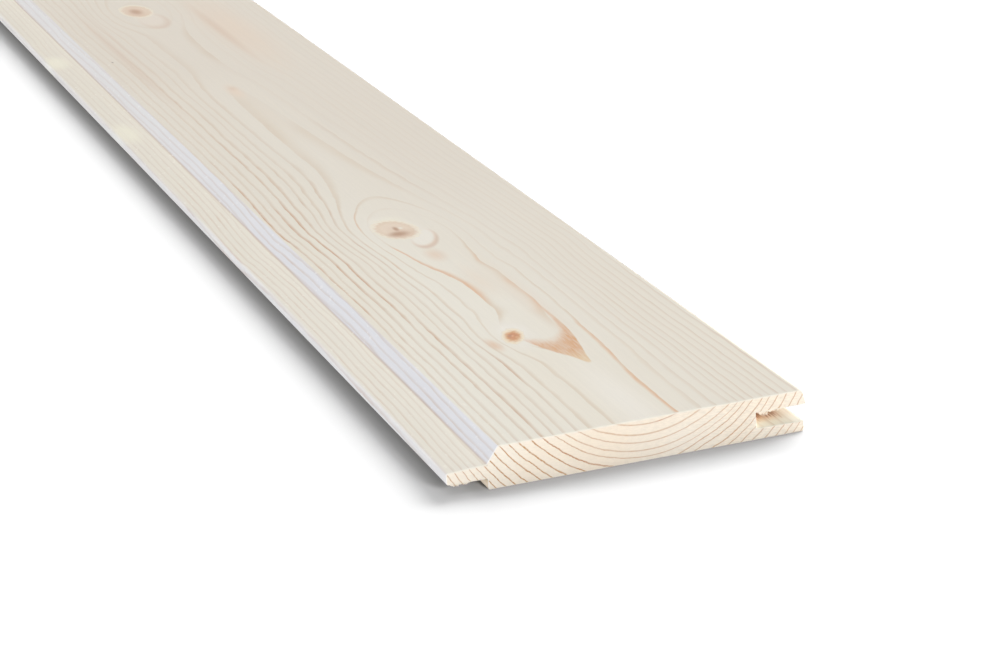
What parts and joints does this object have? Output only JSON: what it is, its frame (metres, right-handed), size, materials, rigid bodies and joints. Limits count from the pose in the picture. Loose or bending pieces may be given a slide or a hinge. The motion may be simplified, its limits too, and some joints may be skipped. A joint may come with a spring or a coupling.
{
  "type": "tongue and groove board",
  "caption": "Planed softwood cladding board with a tongue along one edge, a groove along the other and a chamfer beside the tongue that makes a V joint.",
  "frame": {"origin": "middle of the back face, halfway along the board and halfway across its overall width", "axes": "+X across the board from the tongue to the groove, +Y along its length, +Z from the back to the show face"},
  "size_m": [0.121, 2.1, 0.014],
  "materials": {
    "planed_spruce": "planed bare softwood, matt"
  },
  "bodies": {
    "root": {"board": "planed_spruce"}
  },
  "joints": []
}
